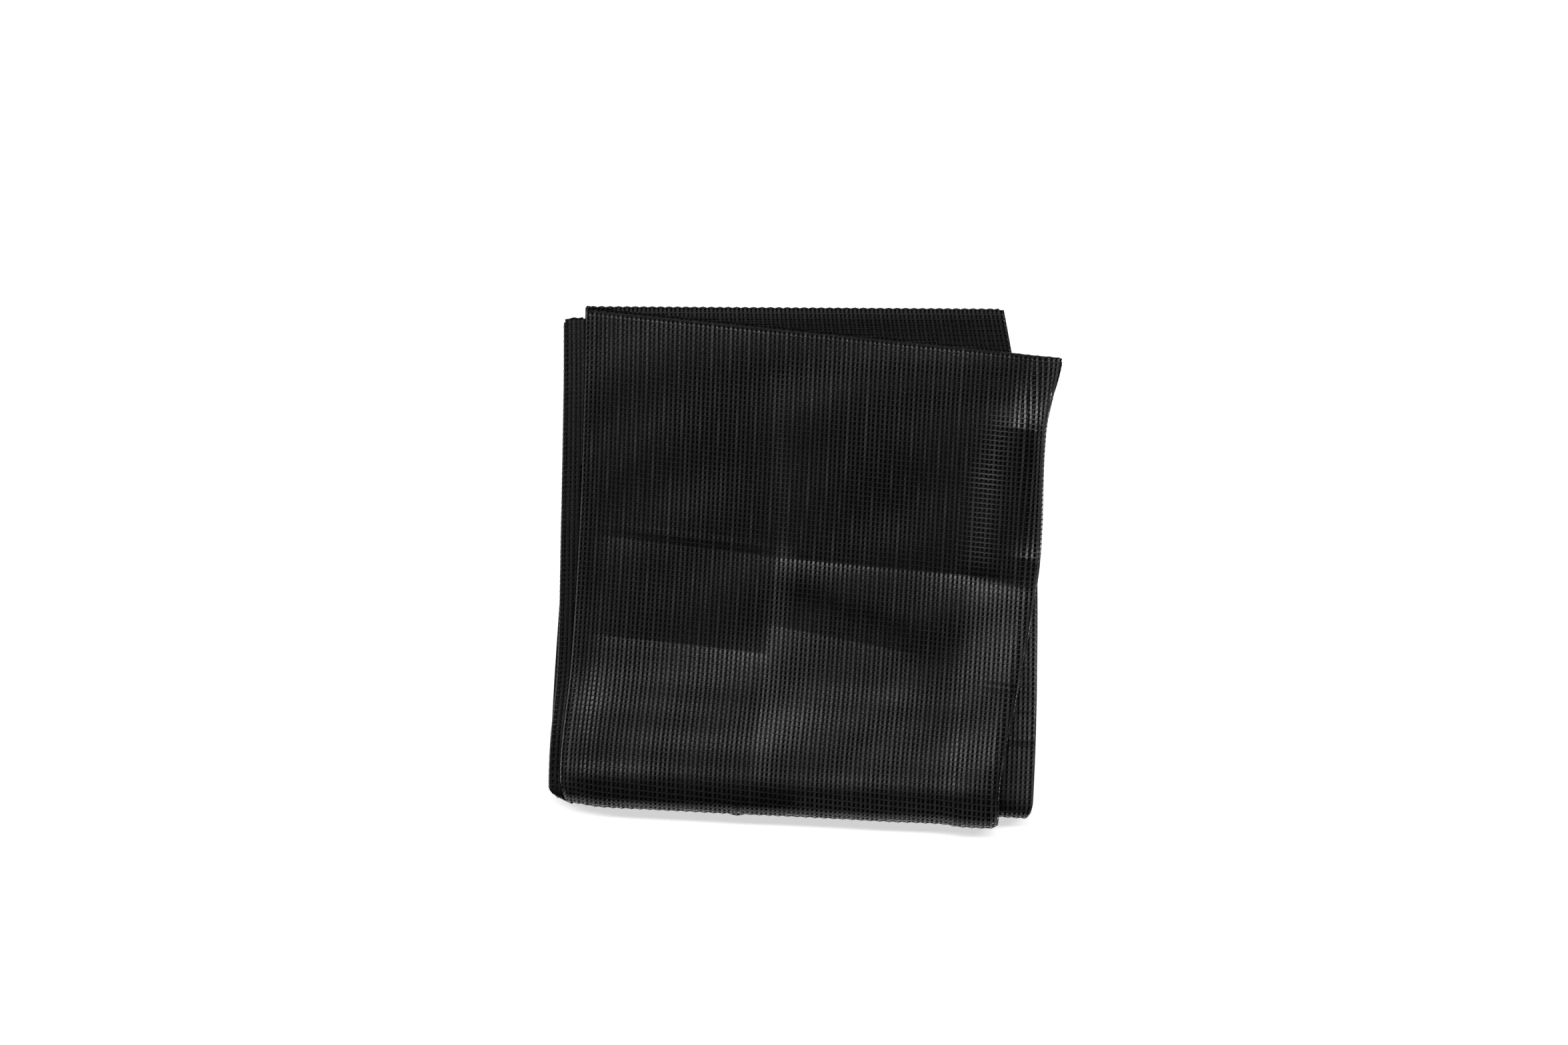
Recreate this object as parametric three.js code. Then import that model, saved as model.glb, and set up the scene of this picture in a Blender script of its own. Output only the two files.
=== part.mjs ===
// Insect screen: one piece of black knitted net, folded into a flat, nearly square pack.
// Millimetres, +Z up. The pack lies on the plane z = 0, with its origin under the middle of its box.
//
// The net is first laid left and right into a strip of passes. Its first pass is tucked in under the second,
// which is the outermost one, and the others lie under both. The strip is then turned under itself at the
// near edge (-Y), so the outermost pass is the top and the bottom of the pack. The solid is that one
// back-and-forth section, carried along the strip and round the turned edge.

import * as THREE from 'three';

// Driving dimensions
const SHEET = 1.0; // thickness of the net
const LEVELS = [1, 0, 2, 3, 4]; // level of each pass along the cloth, counted inwards from the outermost one
const FLAT_PITCH = 1.35; // height from layer to layer where the pack lies flat
const SWELL_PITCH = 0.45; // added to that pitch round the turned edge
const SWELL_AT = 0.02; // place of the crest, up to which the swell is full, as a share of the strip's half length
const SWELL_TAIL = 0.085; // how slowly the swell dies out behind the crest, as a share of the same length
const CORNER_RADIUS = 2.5; // rounding of the loose corners at both ends of the strip

// The axis of the turned edge runs along X and falls a little towards +X.
const TURN_AXIS_Y = -78.977;
const TURN_AXIS_SLOPE = -0.0516;

// Along the strip: 1 is its upper end, 0 the turned edge and -1 its far end underneath.
const STRIP = { far: -1, under: -0.5, turn: 0, low: 0.25, middle: 0.55, upper: 0.85, end: 1 };

// One row for each edge that a pass runs to, from the free edge of the tucked pass to that of the inmost.
// Columns: the side it lies on, the y of the strip's two ends, and its x at the places along the strip.
const LEFT = -1;
const RIGHT = 1;
const EDGES = [
  {
    side: LEFT, farY: 80, endY: 88.5,
    far: -64, under: -67, turn: -72, low: -70.5, middle: -69, upper: -68, end: -67,
  },
  {
    side: RIGHT, farY: 78, endY: 72.5,
    far: 63, under: 66, turn: 67.5, low: 74.5, middle: 81.5, upper: 84, end: 90.5,
  },
  {
    side: LEFT, farY: 83, endY: 91,
    far: -78, under: -81, turn: -84, low: -82.5, middle: -80.5, upper: -78.5, end: -77.5,
  },
  {
    side: RIGHT, farY: 81, endY: 90,
    far: 66, under: 74, turn: 79.5, low: 81, middle: 80.5, upper: 74, end: 69.5,
  },
  {
    side: LEFT, farY: 79, endY: 86.5,
    far: -80, under: -86, turn: -90.45, low: -89, middle: -87.5, upper: -86, end: -84.5,
  },
  {
    side: RIGHT, farY: 84, endY: 85,
    far: 61, under: 70, turn: 75, low: 77, middle: 75.5, upper: 68, end: 64,
  },
];

const PASSES = LEVELS.length;

// Where the surface is divided: across a pass, round a fold, along half the strip and round the turned edge
const PASS_STEPS = [0, 0.012, 0.035, 0.35, 0.65, 0.965, 0.988, 1];
const FOLD_STEPS = 4;
const STRIP_STEPS = [0, 0.02, 0.04, 0.065, 0.09, 0.13, 0.19, 0.27, 0.4, 0.55, 0.7, 0.85, 0.95, 1];
const TURN_STEPS = 8;

const lerp = THREE.MathUtils.lerp;

// A smooth curve through the values at the given spots, each slope taken from its two neighbours
function curveThrough(spots, values) {
  const last = spots.length - 1;
  const slopes = values.map((_, i) => {
    const before = Math.max(i - 1, 0);
    const after = Math.min(i + 1, last);
    return (values[after] - values[before]) / (spots[after] - spots[before]);
  });
  return (at) => {
    const next = spots.findIndex((spot, i) => i > 0 && at <= spot);
    const i = next < 0 ? last - 1 : next - 1;
    const gap = spots[i + 1] - spots[i];
    const share = (at - spots[i]) / gap;
    const rest = 1 - share;
    const straight = lerp(values[i], values[i + 1], share * share * (3 - 2 * share));
    return straight + gap * share * rest * (slopes[i] * rest - slopes[i + 1] * share);
  };
}

const places = Object.keys(STRIP);
const knots = Object.values(STRIP);
const edgeLines = EDGES.map((edge) => curveThrough(knots, places.map((place) => edge[place])));

// Height from layer to layer: even along the strip, with one swell at the turned edge, which is a loose, thick
// fold. The swell is full up to its crest and dies out slowly behind it.
function pitchAt(along) {
  const past = Math.max(Math.abs(along) - SWELL_AT, 0) / SWELL_TAIL;
  return FLAT_PITCH + SWELL_PITCH * (1 + past) * Math.exp(-past);
}

// How far a loose corner is drawn back from its end line, at a distance from the edge it stands on
function cornerDrawback(distance) {
  const inside = Math.min(Math.max(CORNER_RADIUS - distance, 0), CORNER_RADIUS);
  return CORNER_RADIUS - Math.sqrt(CORNER_RADIUS * CORNER_RADIUS - inside * inside);
}

// The back-and-forth section at one place along the strip, from the free edge of the tucked pass.
// Each point has its x, its distance from the turn's axis, the direction of its thickness in that plane,
// and the y of the strip's two ends there.
function sectionAt(along) {
  const pitch = pitchAt(along);
  const edgeX = edgeLines.map((line) => line(along));
  const points = [];

  const outwardOf = (pass) => (PASSES - LEVELS[pass] - 0.5) * pitch;
  const isFold = (edge) => edge > 0 && edge < PASSES;
  const halfDrop = (edge) => (outwardOf(edge - 1) - outwardOf(edge)) / 2;
  const foldReach = (edge) => (isFold(edge) ? Math.abs(halfDrop(edge)) + SHEET / 2 : 0);
  const flatEnd = (edge) => edgeX[edge] - EDGES[edge].side * foldReach(edge);
  const endsAt = (x, from, to, share) => {
    const nearest = Math.min(Math.abs(x - edgeX[from]), Math.abs(x - edgeX[to]));
    const drawback = cornerDrawback(nearest);
    return {
      endY: lerp(EDGES[from].endY, EDGES[to].endY, share) - drawback,
      farY: lerp(EDGES[from].farY, EDGES[to].farY, share) - drawback,
    };
  };

  for (let pass = 0; pass < PASSES; pass += 1) {
    const facing = EDGES[pass].side;
    const outward = outwardOf(pass);
    for (const share of PASS_STEPS) {
      const x = lerp(flatEnd(pass), flatEnd(pass + 1), share);
      const ends = endsAt(x, pass, pass + 1, share);
      points.push({ x, outward, thickX: 0, thickOut: facing, ...ends });
    }
    if (pass === PASSES - 1) {
      break;
    }
    const side = EDGES[pass + 1].side;
    const drop = halfDrop(pass + 1);
    for (let step = 1; step < FOLD_STEPS; step += 1) {
      const angle = Math.PI * step / FOLD_STEPS;
      const x = flatEnd(pass + 1) + side * Math.sin(angle) * Math.abs(drop);
      points.push({
        x,
        outward: outward - (1 - Math.cos(angle)) * drop,
        thickX: facing * side * Math.sign(drop) * Math.sin(angle),
        thickOut: facing * Math.cos(angle),
        ...endsAt(x, pass + 1, pass + 1, 0),
      });
    }
  }
  return points;
}

// Places along the strip, from its upper end round the turned edge to its far end
function stripStations() {
  const upper = STRIP_STEPS.toReversed().map((along) => ({ along, angle: 0 }));
  const lower = STRIP_STEPS.map((along) => ({ along: -along, angle: Math.PI }));
  const turn = [];
  for (let step = 1; step < TURN_STEPS; step += 1) {
    turn.push({ along: 0, angle: Math.PI * step / TURN_STEPS });
  }
  return [...upper, ...turn, ...lower];
}

// A point of the section carried to its station: side 1 and -1 are the two faces of the net
function placed(point, station, side) {
  const half = side * SHEET / 2;
  const x = point.x + half * point.thickX;
  const outward = point.outward + half * point.thickOut;
  const axisY = TURN_AXIS_Y + TURN_AXIS_SLOPE * point.x;
  const axisZ = (PASSES - 0.5) * pitchAt(station.along) + SHEET / 2;
  const goal = station.along < 0 ? point.farY : point.endY;
  const y = lerp(axisY, goal, Math.abs(station.along)) - outward * Math.sin(station.angle);
  return [x, y, axisZ + outward * Math.cos(station.angle)];
}

// The closed skin of the net: its two faces and the strip round its cut edges
function netGeometry() {
  const stations = stripStations();
  const sections = stations.map((station) => sectionAt(station.along));
  const rows = stations.length;
  const columns = sections[0].length;
  const face = (side) => stations.flatMap(
    (station, row) => sections[row].flatMap((point) => placed(point, station, side)),
  );

  const underFace = rows * columns;
  const at = (row, column) => row * columns + column;
  const index = [];
  const quad = (a, b, c, d) => index.push(a, b, c, a, c, d);
  for (let row = 0; row + 1 < rows; row += 1) {
    for (let column = 0; column + 1 < columns; column += 1) {
      const corners = [at(row, column), at(row, column + 1), at(row + 1, column + 1), at(row + 1, column)];
      quad(...corners);
      quad(...corners.toReversed().map((corner) => corner + underFace));
    }
  }
  const wall = (from, to) => quad(to, from, from + underFace, to + underFace);
  for (let row = 0; row + 1 < rows; row += 1) {
    wall(at(row + 1, 0), at(row, 0));
    wall(at(row, columns - 1), at(row + 1, columns - 1));
  }
  for (let column = 0; column + 1 < columns; column += 1) {
    wall(at(0, column), at(0, column + 1));
    wall(at(rows - 1, column + 1), at(rows - 1, column));
  }

  const geometry = new THREE.BufferGeometry();
  geometry.setAttribute('position', new THREE.Float32BufferAttribute([...face(1), ...face(-1)], 3));
  geometry.setIndex(index);
  geometry.computeVertexNormals();
  return geometry;
}

const blackNet = new THREE.MeshStandardMaterial({ color: 0x232324, roughness: 0.6, metalness: 0 });
const net = new THREE.Mesh(netGeometry(), blackNet);
net.name = 'folded_net';

const insectScreen = new THREE.Group();
insectScreen.add(net);

export default insectScreen;
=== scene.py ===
"""Looks of a folded insect screen: a black knitted net, laid in layers and turned under at one edge.

Lengths are in millimetres and become metres where a mesh is made. The net's two outer layers, and what shows
of the layers under them, are knitted from strands. The hidden layers are one thin sheet on the same folds.
"""

import logging
import math
from dataclasses import dataclass, field, replace
from enum import Enum, IntEnum
from typing import Any, Callable, Sequence

import bpy
import numpy as np
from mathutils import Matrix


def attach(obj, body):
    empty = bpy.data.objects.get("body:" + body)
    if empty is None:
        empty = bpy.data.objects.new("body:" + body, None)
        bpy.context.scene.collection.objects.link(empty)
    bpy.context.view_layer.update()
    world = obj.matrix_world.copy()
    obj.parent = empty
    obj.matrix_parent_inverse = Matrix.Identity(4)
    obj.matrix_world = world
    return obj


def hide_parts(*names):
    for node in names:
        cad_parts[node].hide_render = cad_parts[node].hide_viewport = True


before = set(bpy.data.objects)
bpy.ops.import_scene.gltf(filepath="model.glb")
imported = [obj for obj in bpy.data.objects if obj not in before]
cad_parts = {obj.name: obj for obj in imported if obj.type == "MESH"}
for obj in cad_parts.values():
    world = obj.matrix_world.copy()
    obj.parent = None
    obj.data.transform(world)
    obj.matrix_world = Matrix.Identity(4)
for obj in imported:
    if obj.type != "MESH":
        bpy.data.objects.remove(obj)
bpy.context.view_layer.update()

MM = 0.001
TINY = 1e-9
QUARTER = math.pi / 2
ROUND = 2 * math.pi
COLUMN_PITCH = 1.6
ROW_PITCH = 1.717
TONE = "tone"
CLOTH_MAP = "Cloth"
LOG = logging.getLogger("insect_screen")

Array = np.ndarray


def smooth(low: float, high: float, value: Array) -> Array:
    """Returns a soft step from 0 at low to 1 at high: 3t^2 - 2t^3 of the clipped share t."""
    share = np.clip((value - low) / (high - low), 0.0, 1.0)
    return share * share * (3.0 - 2.0 * share)


def between(low: Array | float, high: Array | float, share: Array | float) -> Array | float:
    """Returns low + (high - low) share."""
    return low + (high - low) * share


def unit(vectors: Array) -> Array:
    """Returns the vectors along the last axis at length 1."""
    return vectors / np.maximum(np.linalg.norm(vectors, axis=-1, keepdims=True), TINY)


def curve_through(knots: Array, values: Array, at: Array) -> Array:
    """Reads a smooth curve through values at knots.

    Each piece is a cubic between two knots. Its slope at a knot is the rise between the two neighbours over
    their distance.

    Args:
        knots: Rising places.
        values: The curve's value at each place.
        at: Where to read it.

    Returns:
        The curve's values at those places.
    """
    slopes = np.empty_like(values)
    slopes[1:-1] = (values[2:] - values[:-2]) / (knots[2:] - knots[:-2])
    slopes[0] = (values[1] - values[0]) / (knots[1] - knots[0])
    slopes[-1] = (values[-1] - values[-2]) / (knots[-1] - knots[-2])
    piece = np.clip(np.searchsorted(knots, at) - 1, 0, len(knots) - 2)
    gap = knots[piece + 1] - knots[piece]
    share = (at - knots[piece]) / gap
    rest = 1.0 - share
    straight = values[piece] + (values[piece + 1] - values[piece]) * share * share * (3.0 - 2.0 * share)
    return straight + gap * share * rest * (slopes[piece] * rest - slopes[piece + 1] * share)


class Yarn(Enum):
    """The two kinds of strand in the net."""

    COLUMN = "a column of stitches"
    THREAD = "a thread in a row"


class RampForm(Enum):
    """How a ramp rises across its line."""

    SOFT = "an even s-curve across the line"
    KINK = "sharp at the line, then easing out"


@dataclass(frozen=True)
class Ramp:
    """A rise from 0 to 1 across a line on the top panel, seen from above: 1 on the left of start to end."""

    start: tuple[float, float]
    end: tuple[float, float]
    width: float
    form: RampForm = RampForm.SOFT

    def value(self, x: Array, y: Array) -> Array:
        """Finds the ramp: (1 + tanh(d / width)) / 2, or 1 - exp(-d / width), at distance d left of the line.

        Args:
            x: Places to the right.
            y: Places away from the turned edge.

        Returns:
            The ramp at those places.
        """
        along = np.subtract(self.end, self.start)
        away = (along[0] * (y - self.start[1]) - along[1] * (x - self.start[0])) / np.hypot(*along)
        if self.form is RampForm.KINK:
            return 1.0 - np.exp(-np.maximum(away, 0.0) / self.width)
        return 0.5 + 0.5 * np.tanh(away / self.width)


@dataclass(frozen=True)
class Crease:
    """A soft fold of the top panel: it stands up by rise where all of its ramps are high."""

    rise: float
    ramps: tuple[Ramp, ...]

    def height(self, x: Array, y: Array) -> Array:
        """Returns the rise times the product of the ramps."""
        return self.rise * math.prod(ramp.value(x, y) for ramp in self.ramps)


@dataclass(frozen=True)
class Bulge:
    """A soft bump of the net, turned by some degrees about its middle, or wrinkles of a wave length."""

    middle: tuple[float, float]
    reach: tuple[float, float]
    rise: float
    turn: float = 0.0
    wave: float = math.inf

    def height(self, x: Array, y: Array) -> Array:
        """Finds rise * exp(-(u/p)^2 - (v/q)^2) * cos(2 pi v / wave): u, v along its axes, p, q its reach.

        Args:
            x: Places to the right.
            y: Places away from the turned edge.

        Returns:
            The height of the bump at those places.
        """
        angle = math.radians(self.turn)
        right = x - self.middle[0]
        far = y - self.middle[1]
        u = right * math.cos(angle) + far * math.sin(angle)
        v = far * math.cos(angle) - right * math.sin(angle)
        spread = np.exp(-(u / self.reach[0])**2 - (v / self.reach[1])**2)
        return self.rise * spread * np.cos(ROUND * v / self.wave)


@dataclass(frozen=True)
class PaintedLightLine:
    """A line of painted highlight along a crease, brighter by the gains; painted shade where they are below
    0.
    """

    start: tuple[float, float]
    end: tuple[float, float]
    width: float
    gain: float
    row_gain: float

    def painted_light(self, x: Array, y: Array, yarn: Yarn) -> Array:
        """Finds the gain times exp(-(d / width)^2), d the distance from the line between its ends.

        Args:
            x: Places to the right.
            y: Places away from the turned edge.
            yarn: The strands that are asked for: gain is for the columns, row_gain for the threads.

        Returns:
            The painted highlight at those places, and painted shade where it is below 0.
        """
        along = np.subtract(self.end, self.start)
        right = x - self.start[0]
        far = y - self.start[1]
        share = np.clip((right * along[0] + far * along[1]) / (along @ along), 0.0, 1.0)
        away = np.hypot(right - share * along[0], far - share * along[1])
        gain = self.row_gain if yarn is Yarn.THREAD else self.gain
        return gain * np.exp(-(away / self.width)**2)


@dataclass(frozen=True)
class Wave:
    """A long, low wave of the cloth: radians per millimetre of x and of y, its start and its share."""

    per_x: float
    per_y: float
    start: float
    share: float

    def height(self, x: Array, y: Array) -> Array:
        """Returns share * sin(per_x x + per_y y + start)."""
        return self.share * np.sin(self.per_x * x + self.per_y * y + self.start)


# Three crossing waves, 28 to 50 mm long
WAVES = (Wave(0.118, 0.041, 0.6, 1.0), Wave(-0.062, 0.214, 2.1, 1.0), Wave(0.15, -0.17, 4.0, 0.6))


@dataclass(frozen=True)
class Relief:
    """What the cloth adds to the flat of a layer: creases, bulges and a slight waviness; and lines of
    painted highlight and shade.
    """

    creases: tuple[Crease, ...] = ()
    bulges: tuple[Bulge, ...] = ()
    painted_lines: tuple[PaintedLightLine, ...] = ()
    wave_height: float = 0.0

    def height(self, x: Array, y: Array) -> Array:
        """Returns the sum of all creases and bulges and of the crossing waves."""
        forms = sum(form.height(x, y) for form in (*self.creases, *self.bulges))
        return forms + self.wave_height * sum(wave.height(x, y) for wave in WAVES)

    def painted_light(self, x: Array, y: Array, yarn: Yarn) -> Array:
        """Returns the painted highlight and shade on the yarn along all the painted lines."""
        return sum((line.painted_light(x, y, yarn) for line in self.painted_lines), np.zeros_like(x))


RIGHT_OF_CREASE = Ramp((-10.0, 3.0), (-18.5, -75.0), 0.9)
LEFT_OF_CREASE = Ramp((-18.5, -75.0), (-10.0, 3.0), 1.2)
FAR_RIGHT = Ramp((76.0, 80.0), (76.0, 0.0), 6.0)
LOW_RIGHT = Ramp((57.4, -3.0), (51.0, -80.0), 3.0)
PAST_FAR_LEFT = Ramp((-72.0, -10.0), (-77.0, -70.0), 3.5)
BEFORE_RIGHT = Ramp((36.0, -60.0), (40.0, 10.0), 4.0)
BEHIND_TONGUE = Ramp((40.0, 10.0), (36.0, -60.0), 4.0)


def kink(rise: float, start: tuple[float, float], end: tuple[float, float], width: float,
         *within: Ramp) -> Crease:
    """Returns a crease that is sharp on the line from start to end, within the given ramps."""
    return Crease(rise, (Ramp(start, end, width, RampForm.KINK), *within))


def wrinkle_shade_lines(width: float, gain: float, row_gain: float,
             lines: Sequence[tuple[float, float, float, float]]) -> tuple[PaintedLightLine, ...]:
    """Returns short lines of painted shade of one kind, where rows wrinkle, each from an x and y to a second
    x and y.
    """
    return tuple(PaintedLightLine(line[:2], line[2:], width, gain, row_gain) for line in lines)


# The top panel's creases, swells and lines of painted highlight and shade, at the places where the photo
# shows them
TOP_RELIEF = Relief(
    creases=(
        kink(0.22, (89.0, 73.2), (-77.0, 89.8), 6.0),
        kink(1.15, (80.0, -5.8), (-9.6, 2.6), 10.0, RIGHT_OF_CREASE),
        Crease(-0.4, (Ramp((40.0, -24.5), (-8.0, -7.5), 3.2), RIGHT_OF_CREASE, BEFORE_RIGHT)),
        kink(0.9, (50.0, -33.5), (-12.0, -21.0), 16.0, RIGHT_OF_CREASE, BEFORE_RIGHT),
        kink(1.2, (-10.0, 2.8), (-70.0, 10.3), 20.0, LEFT_OF_CREASE, PAST_FAR_LEFT),
        kink(0.6, (-16.0, -30.8), (-80.0, -23.5), 9.0, LEFT_OF_CREASE, PAST_FAR_LEFT),
        kink(0.15, (62.0, -4.5), (30.0, -1.4), 12.0, BEHIND_TONGUE),
        kink(-3.0, (67.0, 49.2), (85.0, 46.6), 9.0, FAR_RIGHT),
        kink(-1.4, (68.0, 3.2), (82.0, 1.8), 6.0, FAR_RIGHT),
        Crease(-0.5, (Ramp((84.0, -8.0), (62.0, -3.5), 2.0), LOW_RIGHT)),
        kink(0.25, (84.0, -9.5), (58.0, -3.5), 14.0, LOW_RIGHT),
        Crease(1.7, (Ramp((84.0, -32.0), (58.0, -26.0), 15.0), LOW_RIGHT)),
        Crease(0.25, (Ramp((80.0, -45.0), (-80.0, -40.0), 9.0),)),
    ),
    bulges=(
        Bulge((-37.0, 9.0), (26.0, 1.8), 0.1, -7.4),
        Bulge((17.0, 48.0), (24.0, 12.0), 0.2),
        Bulge((-34.0, 10.0), (22.0, 14.0), 0.35),
        Bulge((34.0, 3.0), (22.0, 10.0), 0.25),
        Bulge((68.0, -43.5), (7.0, 4.0), 0.012, -6.0, 2.8),
        Bulge((-48.0, -52.4), (28.0, 16.0), 0.02, -4.0, 11.7),
        Bulge((25.0, -48.0), (34.0, 14.0), 0.012, -6.0, 11.0),
    ),
    # Painted highlights along the creases, and painted shade where a gain is below 0
    painted_lines=(
        PaintedLightLine((-8.0, 3.0), (-15.5, -72.0), 3.2, 0.3, 0.1),
        PaintedLightLine((-9.0, 65.0), (-8.0, 4.0), 2.0, 0.06, 0.1),
        PaintedLightLine((69.0, 50.0), (63.5, 30.0), 4.5, 0.0, 0.4),
        PaintedLightLine((63.5, 30.0), (61.0, 5.0), 4.5, 0.0, 0.4),
        PaintedLightLine((-76.8, 88.0), (-83.5, -70.0), 1.6, 0.12, 0.1),
        PaintedLightLine((-74.0, 88.6), (88.5, 72.6), 0.8, 0.06, 0.1),
        PaintedLightLine((89.0, 71.0), (84.5, 48.0), 5.0, 0.35, 0.12),
        PaintedLightLine((82.5, 44.0), (80.5, 2.0), 1.6, 0.3, 0.1),
        PaintedLightLine((80.0, -6.0), (77.5, -46.0), 5.0, 0.2, 0.1),
        PaintedLightLine((68.0, -20.0), (62.0, -66.0), 11.0, 0.25, 0.12),
        PaintedLightLine((0.0, -83.0), (66.0, -87.0), 4.0, 0.17, 0.1),
        PaintedLightLine((-80.0, -78.5), (-20.0, -79.0), 4.0, 0.07, 0.04),
        PaintedLightLine((-2.0, -32.0), (-7.0, -56.0), 9.0, 0.15, 0.07),
        PaintedLightLine((-10.0, -70.0), (48.0, -73.0), 7.0, 0.07, 0.05),
        PaintedLightLine((-82.5, -60.0), (-84.0, -76.0), 3.0, 0.15, 0.1),
        *wrinkle_shade_lines(0.5, -0.35, -0.2, (
            (63.5, -41.2, 73.0, -42.4),
            (63.0, -43.0, 72.5, -44.2),
            (64.5, -44.9, 72.0, -45.9),
        )),
    ),
    wave_height=0.05,
)

# The same for what shows of the second layer
SECOND_RELIEF = Relief(
    bulges=(
        Bulge((79.0, -42.0), (12.0, 6.0), 0.015, -3.0, 3.0),
        Bulge((77.5, -61.5), (10.0, 2.0), 0.03, 0.0, 6.0),
    ),
    # Painted highlights on the second layer's right strip and upper edge, and painted shade where a gain is
    # below 0
    painted_lines=(
        PaintedLightLine((80.0, -20.0), (78.5, -80.0), 6.0, 0.45, 0.15),
        PaintedLightLine((-70.0, 89.0), (69.0, 89.0), 2.2, 0.2, 0.12),
        *wrinkle_shade_lines(0.7, -0.3, -0.12, (
            (74.0, -38.2, 80.0, -38.5),
            (74.0, -41.4, 80.0, -41.8),
            (73.0, -44.0, 80.0, -44.4),
            (73.0, -46.7, 80.0, -47.0),
            (72.0, -51.6, 80.0, -51.8),
        )),
        *wrinkle_shade_lines(2.4, -0.35, -0.12, ((71.0, -61.0, 79.0, -63.0),)),
    ),
)


class Pass(IntEnum):
    """The passes in their order on the cloth."""

    TUCKED = 0
    TOP = 1
    SECOND = 2
    THIRD = 3
    INMOST = 4


@dataclass(frozen=True)
class FoldEdge:
    """An edge that passes run to: its x at the places along the strip, and the y of both strip ends."""

    x: tuple[float, float, float, float, float, float, float]
    far_y: float
    end_y: float

    @property
    def turn_x(self) -> float:
        """The x at the turned edge."""
        return self.x[2]

    @property
    def end_x(self) -> float:
        """The x at the upper end."""
        return self.x[-1]


TOP_LEFT_X = (-78.0, -82.0, -86.2, -82.4, -79.4, -77.7, -77.3)


@dataclass(frozen=True)
class FoldedPack:
    """The CAD solid's fold: passes laid left and right make a strip, and the strip is turned under at -Y.

    The first pass is tucked in under the second, which is the outermost one. Along the strip, 1 is its upper
    end, 0 the turned edge and -1 its far end underneath. The edges go from the free edge of the tucked pass
    over the four folds to the free edge of the inmost pass. The two left folds lie up to 2.2 mm beside the
    solid's, where the photo shows them. Pairs are the height and the reach of the crest, the depth and the
    reach of a corner's pull, and the lip's reach and fall where they are least and where it hangs over.
    """

    levels: tuple[int, ...] = (1, 0, 2, 3, 4)
    sheet: float = 1.0
    flat_pitch: float = 1.35
    swell_pitch: float = 0.45
    swell_at: float = 0.02
    swell_tail: float = 0.085
    crest: tuple[float, float] = (0.06, 0.03)
    corner_radius: float = 2.5
    corner_pull: tuple[float, float] = (2.6, 2.5)
    lip_edge: int = 1
    lip_reach: tuple[float, float] = (4.0, 9.5)
    lip_fall: tuple[float, float] = (1.2, 3.2)
    lip_grows: tuple[float, float] = (0.35, 0.8)
    axis_y: float = -78.977
    axis_slope: float = -0.0516
    places: tuple[float, ...] = (-1.0, -0.5, 0.0, 0.25, 0.55, 0.85, 1.0)
    edges: tuple[FoldEdge, ...] = (
        FoldEdge((-64.0, -67.0, -72.0, -70.5, -69.0, -68.0, -67.0), 80.0, 88.5),
        FoldEdge((63.0, 66.0, 67.5, 74.5, 81.5, 84.0, 90.5), 78.0, 72.5),
        FoldEdge(TOP_LEFT_X, 83.0, 90.5),
        FoldEdge((66.0, 74.0, 79.5, 81.0, 80.5, 74.0, 69.5), 81.0, 89.6),
        FoldEdge((-80.0, -86.0, -90.2, -87.2, -86.0, -85.1, -85.0), 79.0, 86.5),
        FoldEdge((61.0, 70.0, 75.0, 77.0, 75.5, 68.0, 64.0), 84.0, 85.0),
    )
    relief: Relief = TOP_RELIEF

    @property
    def passes(self) -> int:
        """The number of passes."""
        return len(self.levels)

    def pitch(self, along: Array) -> Array:
        """Finds the height from layer to layer: flat, plus a swell at the turned edge.

        With q = (|along| - swell_at) / swell_tail, and 0 below swell_at, the swell is (1 + q) exp(-q). A low
        crest on it is a bell curve of along.

        Args:
            along: Places along the strip.

        Returns:
            The height at those places.
        """
        past = np.maximum(np.abs(along) - self.swell_at, 0.0) / self.swell_tail
        swell = self.swell_pitch * (1.0 + past) * np.exp(-past)
        height, reach = self.crest
        return self.flat_pitch + swell + height * np.exp(-(along / reach)**2)

    def axis_height(self, along: Array) -> Array:
        """Returns the height of the axis that the strip is turned about."""
        return (self.passes - 0.5) * self.pitch(along) + self.sheet / 2

    def axis_at(self, x: Array) -> Array:
        """Returns the y of that axis."""
        return self.axis_y + self.axis_slope * x

    def edge_x(self, edge: FoldEdge, along: Array) -> Array:
        """Returns the x of an edge along the strip."""
        return curve_through(np.array(self.places), np.array(edge.x), along)

    def lip(self, along: Array) -> tuple[Array, Array]:
        """Finds how far the top pass reaches and falls to its loose right fold: more where it hangs over.

        Args:
            along: Places along the strip.

        Returns:
            The reach and the fall at those places.
        """
        over = smooth(*self.lip_grows, along)
        fall = np.where(along < 0.0, self.flat_pitch / 2, between(*self.lip_fall, over))
        return between(*self.lip_reach, over), fall

    def drawback(self, distance: Array) -> Array:
        """Returns how far a loose corner is cut back: a quarter circle of corner_radius from the edge."""
        inside = np.clip(self.corner_radius - distance, 0.0, self.corner_radius)
        return self.corner_radius - np.sqrt(self.corner_radius**2 - inside**2)


@dataclass(frozen=True)
class Slack:
    """How far a pass hangs out at the turned edge near its left fold."""

    least: float = 0.0
    slope: float = 0.0
    crest_at: float = 8.0
    tail: float = 6.0
    reach: float = 0.1

    def hang(self, a: Array, along: Array) -> Array:
        """Finds the hang: a straight rise up to crest_at, then exp(-d / tail) at a distance d behind it.

        Args:
            a: Places across the pass.
            along: Places along the strip, over whose first reach the hang fades out.

        Returns:
            The hang at those places.
        """
        rise = self.least + self.slope * np.clip(a, 0.0, self.crest_at)
        tail = np.exp(-np.maximum(a - self.crest_at, 0.0) / self.tail)
        return rise * tail * (1.0 - smooth(0.0, self.reach, np.abs(along)))


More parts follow.
